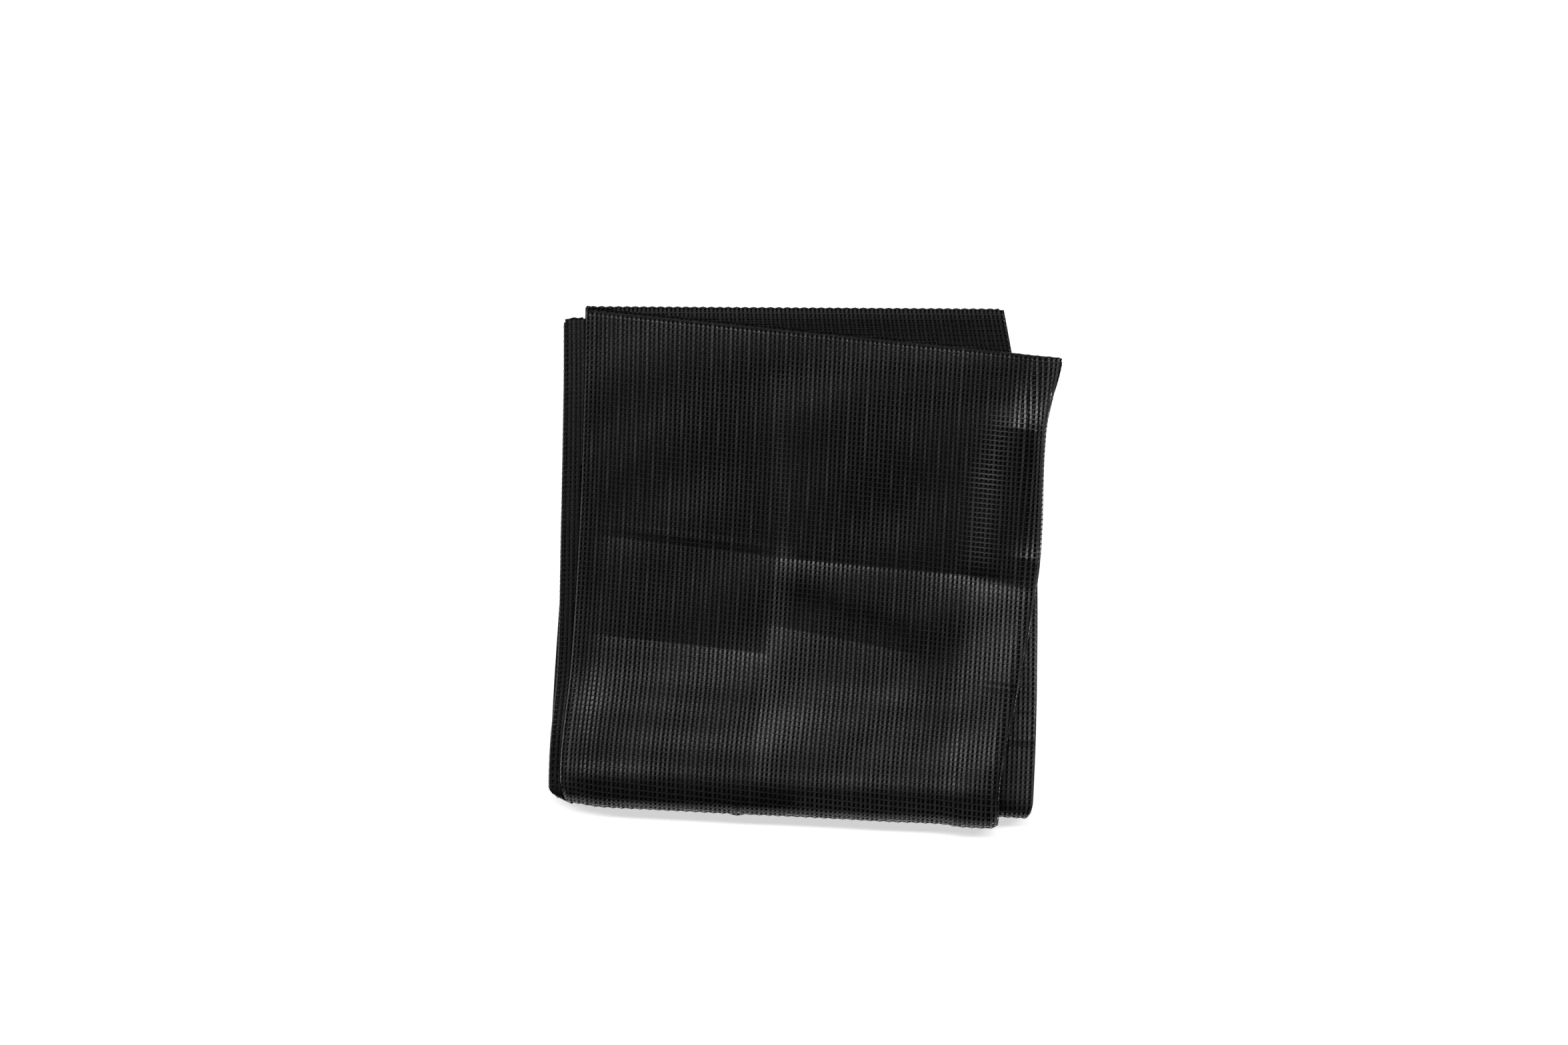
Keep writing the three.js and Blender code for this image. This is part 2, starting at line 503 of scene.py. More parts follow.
@dataclass(frozen=True)
class NetLayer:
    """One pass of the net, from its upper end round the turned edge to its far end.

    A place on it is (a, s): a runs from the left edge to the right one over the width, and s from the upper
    end along the strip, both measured on the cloth.

    Attributes:
        pack: The fold that the pass belongs to.
        index: Which pass it is.
        columns: The number of its columns of stitches.
        column: The distance from column to column.
        inset: How far the strands stay within the edges.
        half_strip: The usual length of half the strip.
        grain: The lines that the columns run between, where they aren't the edges.
        end_roll: The run and the fall of the roll at the upper end.
        end_lift: How much the upper end is lifted, and how far from the end the lift reaches.
        ear: The width and the height of the ear at the left of the upper end.
        crowd: How much closer the columns lie at the left, and over what distance.
        left_reach: The least run of the bend into the left fold.
        left_fade: Where along the strip that run starts and is full.
        right_reach: How far the pass stands out past the right edge.
        right_fade: Where along the strip that starts and is full.
        slack: How it hangs out at the turned edge.
        nub: The x, the height and the width of a tuft on the turned edge.
        own: The relief that only this pass has.
        fold_end: How far strands are made round the right fold, as a share of its arc.
        fold_limit: How far the surface is carried on past the start of that fold, as the same share.
        cut_slack: How far strands may stand out over the cut.
        painted_light_above: The height over which the painted highlights and shade of the lines show.
        normal_step: The step to the neighbours that give a normal.
        swell_steps: How finely the length over the swell is added up.
    """

    pack: FoldedPack
    index: int
    columns: int
    column: float = COLUMN_PITCH
    inset: float = 0.35
    half_strip: float = 163.0
    grain: tuple[FoldEdge, FoldEdge] | None = None
    end_roll: tuple[float, float] = (1.5, 0.45)
    end_lift: tuple[float, float] = (0.0, 1.0)
    ear: tuple[float, float] = (0.0, 0.0)
    crowd: tuple[float, float] = (0.0, 1.0)
    left_reach: float = 0.0
    left_fade: tuple[float, float] = (-0.05, 0.05)
    right_reach: float = 0.0
    right_fade: tuple[float, float] = (0.2, 0.5)
    slack: Slack = Slack()
    nub: tuple[float, float, float] = (0.0, 0.0, 1.0)
    own: Relief = Relief()
    fold_end: float = 1.15
    fold_limit: float = 1.3
    cut_slack: float = 0.05
    painted_light_above: float = 8.0
    normal_step: float = 0.25
    swell_steps: int = 801

    @property
    def width(self) -> float:
        """The width of the pass on the cloth."""
        return self.columns * self.column

    @property
    def left(self) -> int:
        """The index of the edge on the left."""
        return self.index + self.index % 2

    @property
    def right(self) -> int:
        """The index of the edge on the right."""
        return self.index + 1 - self.index % 2

    @property
    def level(self) -> float:
        """How many pitches the pass lies from the turn's axis."""
        return self.pack.passes - self.pack.levels[self.index] - 0.5

    @property
    def outermost(self) -> bool:
        """Whether the pass is the top and the bottom of the pack."""
        return self.pack.levels[self.index] == 0

    def lines(self) -> tuple[FoldEdge, FoldEdge]:
        """Returns the lines that the columns run between."""
        return self.grain or (self.pack.edges[self.left], self.pack.edges[self.right])

    def fall(self, edge: int, along: Array) -> Array:
        """Finds how far the pass falls inwards to the fold at an edge.

        It is half the way to the next pass, and none at a free edge. At the loose fold it is the lip's, less
        the levels between the pass and the outermost one.

        Args:
            edge: Index of the edge.
            along: Place along the strip.

        Returns:
            The fall at those places, below 0 where the pass rises.
        """
        pitch = self.pack.pitch(along)
        levels = self.pack.levels
        if edge in (0, self.pack.passes):
            return np.zeros_like(pitch)
        if edge == self.pack.lip_edge:
            return self.pack.lip(along)[1] - levels[self.index] * pitch
        other = edge if self.index == edge - 1 else edge - 1
        return (levels[other] - levels[self.index]) / 2 * pitch

    def lengths(self, share: Array) -> tuple[Array, Array]:
        """Finds how far the pass runs from the turn's axis.

        Args:
            share: Places across the pass, as a share of its width.

        Returns:
            The lengths of the upper and of the lower half there.
        """
        left, right = self.lines()
        turn = self.pack.axis_at(between(left.turn_x, right.turn_x, share))
        return between(left.end_y, right.end_y, share) - turn, between(left.far_y, right.far_y, share) - turn

    def stations(self, a: Array, s: Array) -> tuple[Array, Array, Array]:
        """Finds where along the strip a place lies.

        On the upper half the cloth's length is the sum of sqrt(run^2 + rise^2) over the swell, so the rows
        close up where it is steep. Round the turn the angle is the length over the radius.

        Args:
            a: Place across the pass.
            s: Place along it.

        Returns:
            The place along the strip, the angle round the turn and the length that is left to the far end.
        """
        pack = self.pack
        upper, lower = self.lengths(a / self.width)
        steps = np.linspace(0.0, 1.0, self.swell_steps)
        rise = (pack.passes - 0.5 + self.level) * np.gradient(pack.pitch(1.0 - steps), steps)
        pace = np.hypot(self.half_strip, rise) / self.half_strip
        run = np.concatenate(([0.0], np.cumsum((pace[1:] + pace[:-1]) / 2))) * steps[1]
        on_top = np.interp(s / upper, run, steps) + np.minimum(s, 0.0) / upper
        radius = self.level * float(pack.pitch(np.zeros(1))[0])
        turned = s - upper * run[-1]
        below = (turned - math.pi * radius) / lower
        along = np.where(turned < 0.0, 1.0 - on_top, -np.clip(below, 0.0, 1.0))
        return along, np.clip(turned / radius, 0.0, math.pi), (1.0 - below) * lower

    def across(self, a: Array, along: Array) -> tuple[Array, Array, Array]:
        """Finds where across the strip a place lies.

        The pass is a quarter ellipse at a fold, a flat, and a quarter ellipse again. A pass with a grain of
        its own runs out past its right fold, and its columns cross that fold.

        Args:
            a: Place across the pass.
            along: Place along the strip.

        Returns:
            The x, the distance from the turn's axis, and the place on the right fold, from 0 to 1 round it.
        """
        pack = self.pack
        left, right = self.lines()
        fall_left = self.fall(self.left, along)
        fall_right = self.fall(self.right, along)
        bend = np.maximum(np.abs(fall_left), self.left_reach * smooth(*self.left_fade, along))
        reach = np.abs(fall_right) if self.right != pack.lip_edge else pack.lip(along)[0]
        start = pack.edge_x(left, along) + self.inset
        stop = pack.edge_x(pack.edges[self.right], along) - self.inset
        stop = stop + self.right_reach * smooth(*self.right_fade, along)
        flat = stop - reach - bend - start
        arc_left = np.sqrt((bend**2 + fall_left**2) / 2) * QUARTER
        arc_right = np.maximum(np.sqrt((reach**2 + fall_right**2) / 2) * QUARTER, TINY)
        total = arc_left + flat + arc_right
        if self.grain is not None:
            total = arc_left + pack.edge_x(right, along) - self.inset - start - bend
        depth, reach_in = self.crowd
        even = a / self.width * (total + depth)
        run = even - depth * (1.0 - np.exp(-even / reach_in))
        turn_left = np.clip(run / np.maximum(arc_left, TINY), 0.0, 1.0) * QUARTER
        beyond = (run - arc_left - flat) / arc_right
        turn_right = np.clip(beyond, 0.0, self.fold_limit) * QUARTER
        x = start + bend * (1.0 - np.cos(turn_left)) + np.clip(run - arc_left, 0.0, flat)
        x = x + reach * np.sin(turn_right)
        outward = self.level * pack.pitch(along)
        outward = outward - fall_left * (1.0 - np.sin(turn_left)) - fall_right * (1.0 - np.cos(turn_right))
        return x, outward, beyond

    def place(self, a: Array, along: Array, angle: Array) -> Array:
        """Finds the point of the net at a place across the pass and a station along the strip.

        Along, it goes from the axis to the strip's end, at its own height over the axis, and turns about the
        axis. The relief adds to that height on the upper half and fades out round the turn.

        Args:
            a: Place across the pass.
            along: Place along the strip.
            angle: Angle round the turned edge.

        Returns:
            The points, in an array whose last axis is x, y and z.
        """
        pack = self.pack
        left, right = self.lines()
        x, outward, _ = self.across(a, along)
        share = a / self.width
        goal = np.where(along < 0.0, between(left.far_y, right.far_y, share),
                        between(left.end_y, right.end_y, share))
        axis = pack.axis_at(x)
        round_turn = np.sin(angle)**2
        nub_x, nub_height, nub_width = self.nub
        tuft = nub_height * np.exp(-((x - nub_x) / nub_width)**2) * round_turn
        y = axis + (goal - axis) * np.abs(along) - self.slack.hang(a, along) - tuft
        top = np.maximum(outward, 0.0) / ((pack.passes - 0.5) * pack.pitch(along))
        relief = pack.relief.height(x, y) * top + self.own.height(x, y)
        outward = outward + relief * (0.5 + 0.5 * np.cos(angle))
        y = y - outward * np.sin(angle)
        z = pack.axis_height(along) + outward * np.cos(angle)
        pull, within = pack.corner_pull
        x = x + pull * round_turn * (np.exp(-a / within) - np.exp((a - self.width) / within))
        return np.stack(np.broadcast_arrays(x, y, z), axis=-1)

    def points(self, a: Array, s: Array) -> Array:
        """Finds the points of the net at places on the cloth.

        The upper end rolls over: a quarter ellipse, whose half axes are the two of end_roll, takes up the
        first of the cloth's length.

        Args:
            a: Place across the pass.
            s: Place along it.

        Returns:
            The points, in an array whose last axis is x, y and z.
        """
        run, fall = self.end_roll
        length = QUARTER * math.sqrt((run * run + fall * fall) / 2)
        turn = np.clip(s / length, 0.0, 1.0) * QUARTER
        flat = run * (1.0 - np.cos(turn)) + np.maximum(s - length, 0.0) + np.minimum(s, 0.0)
        along, angle, _ = self.stations(a, flat)
        point = self.place(a, along, angle)
        rise, lifted = self.end_lift
        point[..., 2] += rise * np.clip(1.0 - s / lifted, 0.0, 1.0) - fall * (1.0 - np.sin(turn))
        return point

    def surface(self, a: Array, s: Array, lift: Array) -> tuple[Array, Array]:
        """Finds points over the net and its normals there.

        The normal is the cross product of the steps to the two neighbours along and across the cloth.

        Args:
            a: Place across the pass.
            s: Place along it.
            lift: Height over the net's middle, along the normal.

        Returns:
            The points and the unit normals.
        """
        step = self.normal_step
        along = self.points(a, s + step) - self.points(a, s - step)
        across = self.points(a + step, s) - self.points(a - step, s)
        normal = unit(np.cross(along, across))
        return self.points(a, s) + normal * lift[..., None], normal

    def painted_light(self, point: Array, yarn: Yarn) -> Array:
        """Returns the painted highlight and shade on the yarn at points of the upper half."""
        relief = self.pack.relief if self.outermost else self.own
        return relief.painted_light(point[..., 0], point[..., 1], yarn) * (point[..., 2] > self.painted_light_above)

    def inside(self, a: Array, s: Array) -> Array:
        """Finds which places lie within the pass: not past its right fold, a rounded corner or an end.

        Args:
            a: Place across the pass.
            s: Place along it.

        Returns:
            Whether each place is on the cloth, with the ear at the left of the upper end.
        """
        along, _, left_over = self.stations(a, s)
        x, _, beyond = self.across(a, along)
        start = self.pack.edge_x(self.pack.edges[self.left], along)
        stop = self.pack.edge_x(self.pack.edges[self.right], along)
        cut = self.pack.drawback(np.minimum(x - start, stop - x))
        ear_width, ear_height = self.ear
        first = np.where(a < ear_width, -ear_height, cut)
        return (beyond < self.fold_end) & (s > first - self.cut_slack) & (left_over > cut)


@dataclass
class MeshParts:
    """A mesh as arrays: points, faces of one or two sizes, whether it is smooth, and a tone by point."""

    points: Array
    faces: list[Array]
    soft: bool
    tone: Array

    def to_object(self, name: str) -> bpy.types.Object:
        """Makes the object, in metres.

        Args:
            name: The name of the object and its mesh.

        Returns:
            The object, linked to the scene.
        """
        mesh = bpy.data.meshes.new(name)
        corners = np.concatenate([part.ravel() for part in self.faces])
        sizes = np.concatenate([np.full(len(part), part.shape[1]) for part in self.faces])
        mesh.vertices.add(len(self.points))
        mesh.vertices.foreach_set("co", (self.points * MM).astype(np.float32).ravel())
        mesh.loops.add(len(corners))
        mesh.loops.foreach_set("vertex_index", corners.astype(np.int32))
        mesh.polygons.add(len(sizes))
        mesh.polygons.foreach_set("loop_start", (np.cumsum(sizes) - sizes).astype(np.int32))
        mesh.polygons.foreach_set("use_smooth", np.full(len(sizes), self.soft))
        mesh.attributes.new(TONE, "FLOAT", "POINT").data.foreach_set("value", self.tone.astype(np.float32))
        mesh.update(calc_edges=True)
        piece = bpy.data.objects.new(name, mesh)
        bpy.context.scene.collection.objects.link(piece)
        return piece


class Section(Enum):
    """The section of a strand, counter-clockwise, in halves of its width and height, with its top flat."""

    TAPE = ((0.9, 0.7), (-0.9, 0.7), (-1.0, -1.0), (1.0, -1.0))
    THREAD = ((0.65, 0.8), (-0.65, 0.8), (-1.0, -0.8), (1.0, -0.8))


def tubes(path: Array, normal: Array, half_width: Array, half_height: Array, section: Section, keep: Array,
          tone: Array) -> MeshParts:
    """Carries a section along many paths at once.

    Each corner (u, v) of the section is at path + u width side + v height up, up along the net's normal.

    Args:
        path: Points, by path, ring and axis.
        normal: The net's normal at those points.
        half_width: Half the section's width, by path and ring.
        half_height: Half its height.
        section: The section.
        keep: The rings that are made, apart from single ones.
        tone: The tone of each ring.

    Returns:
        The closed tubes as one mesh.
    """
    pad = np.pad(keep, ((0, 0), (1, 1)))
    keep = keep & (pad[:, :-2] | pad[:, 2:])
    pad = np.pad(keep, ((0, 0), (1, 1)))
    side = unit(np.cross(np.gradient(path, axis=1), normal))
    up = unit(np.cross(side, np.gradient(path, axis=1)))
    shape = np.array(section.value)
    sides = len(shape)
    across = (half_width[..., None] * shape[:, 0])[..., None] * side[:, :, None, :]
    over = (half_height[..., None] * shape[:, 1])[..., None] * up[:, :, None, :]
    corner = path[:, :, None, :] + across + over

    number = (np.cumsum(keep) - 1).reshape(keep.shape)
    ring = np.arange(sides)
    following = (ring + 1) % sides
    joined = keep[:, :-1] & keep[:, 1:]
    first = number[:, :-1][joined][:, None] * sides
    second = number[:, 1:][joined][:, None] * sides
    walls = np.stack((first + ring, second + ring, second + following, first + following), axis=-1)
    starts = number[keep & ~pad[:, :-2]][:, None] * sides + ring
    stops = number[keep & ~pad[:, 2:]][:, None] * sides + ring[::-1]
    faces = [walls.reshape(-1, 4), np.concatenate((starts, stops))]
    return MeshParts(corner[keep].reshape(-1, 3), faces, False, np.repeat(tone[keep], sides))


class Detail(Enum):
    """How finely strands are made: ring places within a stitch, and a thread's course over two columns."""

    FINE = ((0.0, 0.3, 0.72), ((0.1, 0.0), (0.85, 0.04), (1.1, 0.36), (1.28, 0.0)))
    PLAIN = ((0.0, 0.5), ((0.0, 0.0), (1.0, 0.0)))

    @property
    def rings(self) -> Array:
        """The places of a column's rings within a stitch."""
        return np.array(self.value[0])

    @property
    def course(self) -> Array:
        """The course of a thread: places in columns, and how far it sags below its row in millimetres."""
        return np.array(self.value[1])


class Rank(Enum):
    """Columns that stand high and columns that lie low, in turn: first one, sign and share of the width."""

    HIGH = (0, 1.0, 1.03)
    LOW = (1, -1.0, 0.94)

    @property
    def first(self) -> int:
        """The number of the first column of this rank."""
        return self.value[0]

    @property
    def sign(self) -> float:
        """1 for columns that stand high, -1 for those that lie low."""
        return self.value[1]

    @property
    def width(self) -> float:
        """The width of its columns as a share of the usual one."""
        return self.value[2]


@dataclass(frozen=True)
class Unevenness:
    """How much strands vary, as standard deviations: millimetres, a share of the width, and tones."""

    place: float = 0.02
    lift: float = 0.0025
    width: float = 0.04
    stitch_tone: float = 0.01
    column_tone: float = 0.012
    thread_tone: float = 0.02


@dataclass(frozen=True)
class Streaks:
    """Light columns on the flat of a layer, about one in three or four, with darker ones between them."""

    gain: float = 0.17
    dim: float = 0.03
    pitch: float = 5.6
    sharpness: int = 4
    drift: float = 0.4
    drift_along: float = 19.0
    drift_aslant: float = 31.0
    shift: float = 0.5
    shift_across: float = 23.0
    fade: tuple[float, float] = (85.0, 130.0)

    def tone(self, a: Array, s: Array) -> Array:
        """Finds how much lighter or darker the columns are.

        The light is a power of a cosine across the net, at the pitch, whose phase drifts along and across it
        in slow sines. It and the dimming fade out towards the turned edge.

        Args:
            a: Place across the layer.
            s: Place along it.

        Returns:
            What is added to the tone.
        """
        phase = self.drift * np.sin(s / self.drift_along + a / self.drift_aslant)
        phase = phase + self.shift * np.sin(a / self.shift_across)
        light = np.maximum(np.cos(ROUND * (a / self.pitch + phase)), 0.0)**self.sharpness
        return (self.gain * light - self.dim) * (1.0 - smooth(*self.fade, s))


@dataclass
class NetStrands:
    """The knit of one layer: columns of stitches, with threads in rows from column to column."""

    name: str
    layer: NetLayer
    span: tuple[float, float]
    detail: Detail = Detail.FINE
    row: float = ROW_PITCH
    first_row: float = 0.2
    most_rows: int = 260
    first_column: float = 0.5
    cut_end: float = -0.02
    neck_half: float = 0.375
    body_half: float = 0.445
    half_height: float = 0.14
    slant: float = 0.07
    ridge: float = 0.15
    raised: float = 0.0
    column_tone: float = 0.028
    # Painted light on the columns that stand high and painted shade on those that lie low
    rank_light_and_shade: float = 0.02
    thread_half: float = 0.29
    thread_flat: float = 0.55
    thread_over: float = 0.1
    thread_tone: float = 0.09
    uneven: Unevenness = Unevenness()
    streaks: Streaks | None = None
    seed: int = 7
    thread_seed: int = 50
    shown: Callable[[Array], Array] | None = None

    def column_places(self) -> Array:
        """Returns the place of each column across the layer."""
        return self.first_column + np.arange(self.layer.columns) * self.layer.column

    def row_places(self) -> Array:
        """Returns the places of the rows within the span along the layer."""
        rows = self.first_row + np.arange(-1, self.most_rows) * self.row
        return rows[(rows >= self.span[0]) & (rows < self.span[1])]

    def kept(self, a: Array, s: Array) -> Array:
        """Finds which places are made: those within the cut and, if only a part shows, in that part.

        Args:
            a: Place across the layer.
            s: Place along it.

        Returns:
            Whether each place is made.
        """
        keep = self.layer.inside(a, s)
        if self.shown is not None:
            keep &= self.shown(self.layer.points(a, s))
        return keep

    def build_columns(self, rank: Rank) -> bpy.types.Object:
        """Makes every second column of stitches.

        Each stitch is a grain: narrow at the row's thread and wider between, and slanted across the column.
        The columns stand up and lie down in turn, by the ridge.

        Args:
            rank: Whether to make the columns that stand high or those that lie low.

        Returns:
            The columns as one object.
        """
        uneven = self.uneven
        places = (self.row_places()[:, None] + self.detail.rings * self.row).ravel()
        places = np.sort(np.append(places, self.cut_end if self.span[0] <= 0.0 else self.span[0]))
        phase = (places - self.first_row) / self.row % 1.0
        chosen = self.column_places()[rank.first::2]
        shake = np.random.default_rng(self.seed + rank.first).normal(0.0, 1.0, (4, len(chosen), len(places)))
        a = chosen[:, None] + self.slant * np.sin(ROUND * phase) + uneven.place * shake[0]
        s = places + np.zeros_like(a)
        lift = self.raised + rank.sign * self.ridge + uneven.lift * shake[1]
        path, normal = self.layer.surface(a, s, lift)
        half = between(self.neck_half, self.body_half, np.sin(math.pi * phase))
        half = half * rank.width * (1.0 + uneven.width * shake[2])
        tall = np.full_like(a, self.half_height)
        # Painted light and shade: the high columns lighter, the low ones darker, plus the lines of painted
        # highlight and shade
        tone = self.column_tone + rank.sign * self.rank_light_and_shade + self.layer.painted_light(path, Yarn.COLUMN)
        tone = tone + uneven.stitch_tone * shake[3] + uneven.column_tone * shake[3][:, :1]
        if self.streaks is not None:
            tone = tone + self.streaks.tone(a, s)
        parts = tubes(path, normal, half, tall, Section.TAPE, self.kept(a, s), tone)
        return parts.to_object(f"{self.name}_columns_{rank.name.lower()}")

    def build_threads(self) -> bpy.types.Object:
        """Makes the threads in rows.

        Each runs over the necks of the columns, lower between them, and hooks down on every second one.

        Returns:
            The threads as one object.
        """
        rows = self.row_places()
        course = self.detail.course
        at = (2.0 * np.arange((self.layer.columns + 1) // 2)[:, None] + course[:, 0]).ravel()
        sag = np.resize(course[:, 1], len(at))[at <= self.layer.columns - 1]
        at = at[at <= self.layer.columns - 1]
        apart = np.sin(math.pi * at)**2
        high = np.cos(math.pi * at)
        generator = np.random.default_rng(self.seed + self.thread_seed)
        shake = generator.normal(0.0, 1.0, (2, len(rows), len(at)))
        a = self.first_column + at * self.layer.column + np.zeros((len(rows), 1))
        s = rows[:, None] + sag + self.uneven.place * shake[0]
        lift = self.raised + self.ridge * high + self.thread_over * (1.0 - apart) + np.zeros_like(s)
        path, normal = self.layer.surface(a, s, lift)
        half = np.full_like(a, self.thread_half)
        # The lines of painted highlight and shade add to the threads' tone
        tone = self.thread_tone + self.uneven.thread_tone * shake[1] + self.layer.painted_light(path, Yarn.THREAD)
        parts = tubes(path, normal, half, half * self.thread_flat, Section.THREAD, self.kept(a, s), tone)
        return parts.to_object(f"{self.name}_threads")

    def build(self) -> list[bpy.types.Object]:
        """Makes the columns and the threads, and returns them."""
        return [self.build_columns(Rank.HIGH), self.build_columns(Rank.LOW), self.build_threads()]


@dataclass
class InnerSheet:
    """The whole net as a thin sheet on the pack's folds, close under the strands of the outer pass."""

    pack: FoldedPack
    runs: tuple[tuple[NetLayer, ...], ...]
    sunk: float = 0.45
    flat: tuple[float, float] = (0.78, 0.34)
    area: float = 0.2608
    fold_shares: tuple[float, ...] = (0.0, 0.002, 0.0045, 0.007, 0.01, 0.015)
    flat_from: float = 0.018
    across_steps: int = 44
    upper_steps: int = 60
    turn_steps: int = 12
    lower_steps: int = 40
    closeness: float = 1.5
    row: float = ROW_PITCH
    # Painted shade: the sheet under the outer pass's strands is far darker than the inner ones
    outer_shade_tone: float = 0.09
    inner_tone: float = 0.7

    def stations(self) -> tuple[Array, Array]:
        """Lays out the stations along the strip, from the upper end to the far end.

        They lie closer to each other near the turn: a power of even steps.

        Returns:
            The places along the strip and the angles round the turn.
        """
        upper = np.linspace(1.0, 0.0, self.upper_steps)**self.closeness
        lower = -np.linspace(0.0, 1.0, self.lower_steps)**self.closeness
        turn = np.linspace(0.0, math.pi, self.turn_steps + 2)[1:-1]
        along = np.concatenate((upper, np.zeros_like(turn), lower))
        angle = np.concatenate((np.zeros_like(upper), turn, np.full_like(lower, math.pi)))
        return along, angle

    def build_run(self, layers: tuple[NetLayer, ...]) -> tuple[Array, Array]:
        """Lays out passes that follow each other on the cloth.

        Args:
            layers: The passes in their order on the cloth.

        Returns:
            The points, by place across the cloth and station, and the cloth's columns and rows there.
        """
        along, angle = self.stations()
        flat = 0.5 - 0.5 * np.cos(np.linspace(0.0, math.pi, self.across_steps))
        flat = flat[(flat > self.flat_from) & (flat < 1.0 - self.flat_from)]
        folds = np.array(self.fold_shares)
        share = np.concatenate((folds, flat, 1.0 - folds[::-1]))
        strips, counts = [], []
        for number, layer in enumerate(layers):
            order = share[min(number, 1):]
            a = (1.0 - order if layer.index % 2 else order)[:, None] * layer.width
            strips.append(layer.place(a, along + np.zeros_like(a), angle + np.zeros_like(a)))
            counts.append((number + order) * layers[0].columns)
        points = np.concatenate(strips)
        if layers[0].outermost:
            normal = unit(np.cross(np.gradient(points, axis=0), np.gradient(points, axis=1)))
            points = points - self.sunk * normal
        steps = np.linalg.norm(np.diff(points[len(share) // 2], axis=0), axis=-1)
        rows = np.concatenate(([0.0], np.cumsum(steps))) / self.row
        return points, np.stack(np.broadcast_arrays(np.concatenate(counts)[:, None], rows), axis=-1)

    def build(self) -> bpy.types.Object:
        """Makes the sheet as grids, with the cloth's columns and rows as its map.

        Returns:
            The sheet as one object.
        """
        points, spots, faces, tones, first = [], [], [], [], 0
        for layers in self.runs:
            place, spot = self.build_run(layers)
            grid = first + np.arange(place[..., 0].size).reshape(place.shape[:2])
            first += grid.size
            corners = np.stack((grid[:-1, :-1], grid[:-1, 1:], grid[1:, 1:], grid[1:, :-1]), axis=-1)
            points.append(place.reshape(-1, 3))
            spots.append(spot.reshape(-1, 2))
            faces.append(corners.reshape(-1, 4))
            # Painted shade on the sheet of the tucked and top passes, under the top pass's strands
            tone = self.outer_shade_tone if layers[0].index <= Pass.TOP else self.inner_tone
            tones.append(np.full(grid.size, tone))
        piece = MeshParts(np.concatenate(points), faces, True, np.concatenate(tones)).to_object("sheet")
        cloth = np.concatenate(spots)[np.concatenate(faces).ravel()]
        piece.data.uv_layers.new(name=CLOTH_MAP).data.foreach_set("uv", cloth.astype(np.float32).ravel())
        return piece


class Shade:
    """A value in a material's nodes that takes Python's operators."""

    def __init__(self, graph: "Graph", socket: bpy.types.NodeSocket) -> None:
        """Holds the socket that gives the value, and the graph it belongs to."""
        self.graph = graph
        self.socket = socket

    def math(self, operation: str, *others: "Shade | float") -> "Shade":
        """Returns a Math node's result for this value and the others."""
        return self.graph.node("ShaderNodeMath", {"operation": operation}, dict(enumerate((self, *others))))

    def __add__(self, other: "Shade | float") -> "Shade":
        """Returns the sum."""
        return self.math("ADD", other)

    def __radd__(self, other: float) -> "Shade":
        """Returns the sum with a number first."""
        return self.math("ADD", other)

    def __sub__(self, other: "Shade | float") -> "Shade":
        """Returns the difference."""
        return self.math("SUBTRACT", other)

    def __rsub__(self, other: float) -> "Shade":
        """Returns a number less this value."""
        return self.math("MULTIPLY_ADD", -1.0, other)

    def __mul__(self, other: "Shade | float") -> "Shade":
        """Returns the product."""
        return self.math("MULTIPLY", other)

    def __rmul__(self, other: float) -> "Shade":
        """Returns the product with a number first."""
        return self.math("MULTIPLY", other)


class Graph:
    """The nodes of one material, made from typed calls and expressions."""

    def __init__(self, name: str) -> None:
        """Makes a material with only its shader and its output.

        Args:
            name: The material's name.
        """
        self.material = bpy.data.materials.new(name)
        self.material.use_nodes = True
        self.nodes = self.material.node_tree.nodes
        self.shader = self.nodes["Principled BSDF"]

    def fill(self, socket: bpy.types.NodeSocket, value: Any) -> None:
        """Links a value to a socket, or sets it if it is a plain one.

        Args:
            socket: The input socket.
            value: A value of this graph, a number or a colour.
        """
        if isinstance(value, Shade):
            self.material.node_tree.links.new(value.socket, socket)
        else:
            socket.default_value = value

    def node(self, kind: str, settings: dict[str, Any], inputs: dict[Any, Any], output: Any = 0) -> Shade:
        """Adds a node.

        Args:
            kind: The node's type.
            settings: Its properties.
            inputs: Its inputs by name or number.
            output: The output that is wanted, by name or number.

        Returns:
            That output as a value.
        """
        node = self.nodes.new(kind)
        for key, value in settings.items():
            setattr(node, key, value)
        for key, value in inputs.items():
            self.fill(node.inputs[key], value)
        return Shade(self, node.outputs[output])

    def tone(self) -> Shade:
        """Returns the tone that the mesh holds."""
        return self.node("ShaderNodeAttribute", {"attribute_name": TONE}, {}, "Fac")

    def noise(self, scale: float, detail: float = 2.0) -> Shade:
        """Returns a noise on the object's own coordinates."""
        spot = self.node("ShaderNodeTexCoord", {}, {}, "Object")
        return self.node("ShaderNodeTexNoise", {}, {"Vector": spot, "Scale": scale, "Detail": detail})

    def mix(self, factor: Shade, low: Sequence[float], high: Sequence[float]) -> Shade:
        """Returns the colour between low and high."""
        # Socket 0 is the factor, 6 and 7 are the two colours, and output 2 is the mixed colour
        inputs = {0: factor, 6: (*low, 1.0), 7: (*high, 1.0)}
        return self.node("ShaderNodeMix", {"data_type": "RGBA"}, inputs, 2)

    def blend(self, factor: Shade, under: Sequence[float]) -> None:
        """Lets the shader show over a matt colour.

        Args:
            factor: How much the shader shows.
            under: The matt colour.
        """
        matt = self.node("ShaderNodeBsdfDiffuse", {}, {"Color": (*under, 1.0)})
        top = Shade(self, self.shader.outputs[0])
        mixed = self.node("ShaderNodeMixShader", {}, {0: factor, 1: matt, 2: top})
        self.fill(self.nodes["Material Output"].inputs["Surface"], mixed)

    def set(self, **values: Any) -> None:
        """Sets inputs of the shader, an underscore for each space."""
        for key, value in values.items():
            self.fill(self.shader.inputs[key.replace("_", " ")], value)


